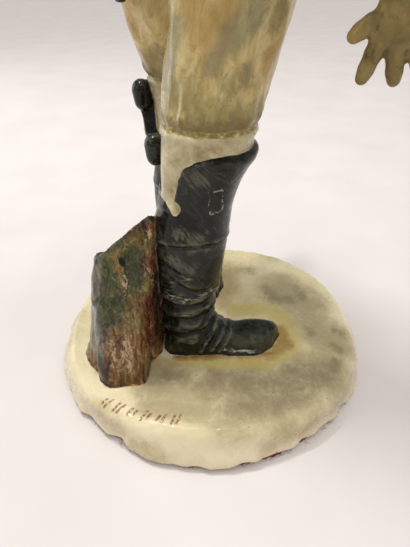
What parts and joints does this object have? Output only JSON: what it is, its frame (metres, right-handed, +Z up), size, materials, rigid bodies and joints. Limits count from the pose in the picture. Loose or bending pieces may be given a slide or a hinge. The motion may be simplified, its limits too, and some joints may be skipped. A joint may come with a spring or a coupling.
{
  "type": "faience statuette",
  "caption": "Glazed faience figure of a standing man in tailcoat and high boots, leaning on a stump on a round base with a felt pad beneath; it stands on a table or shelf.",
  "frame": {"origin": "centre of the round base on the plane it stands on", "axes": "+Z up, the figure faces -Y and its right side is at -X"},
  "size_m": [0.1609, 0.1508, 0.371],
  "materials": {
    "faience": "glossy hand-painted glaze",
    "felt": "matt fibrous"
  },
  "bodies": {
    "root": {"statuette": "faience", "felt_pad": "felt"}
  },
  "joints": []
}
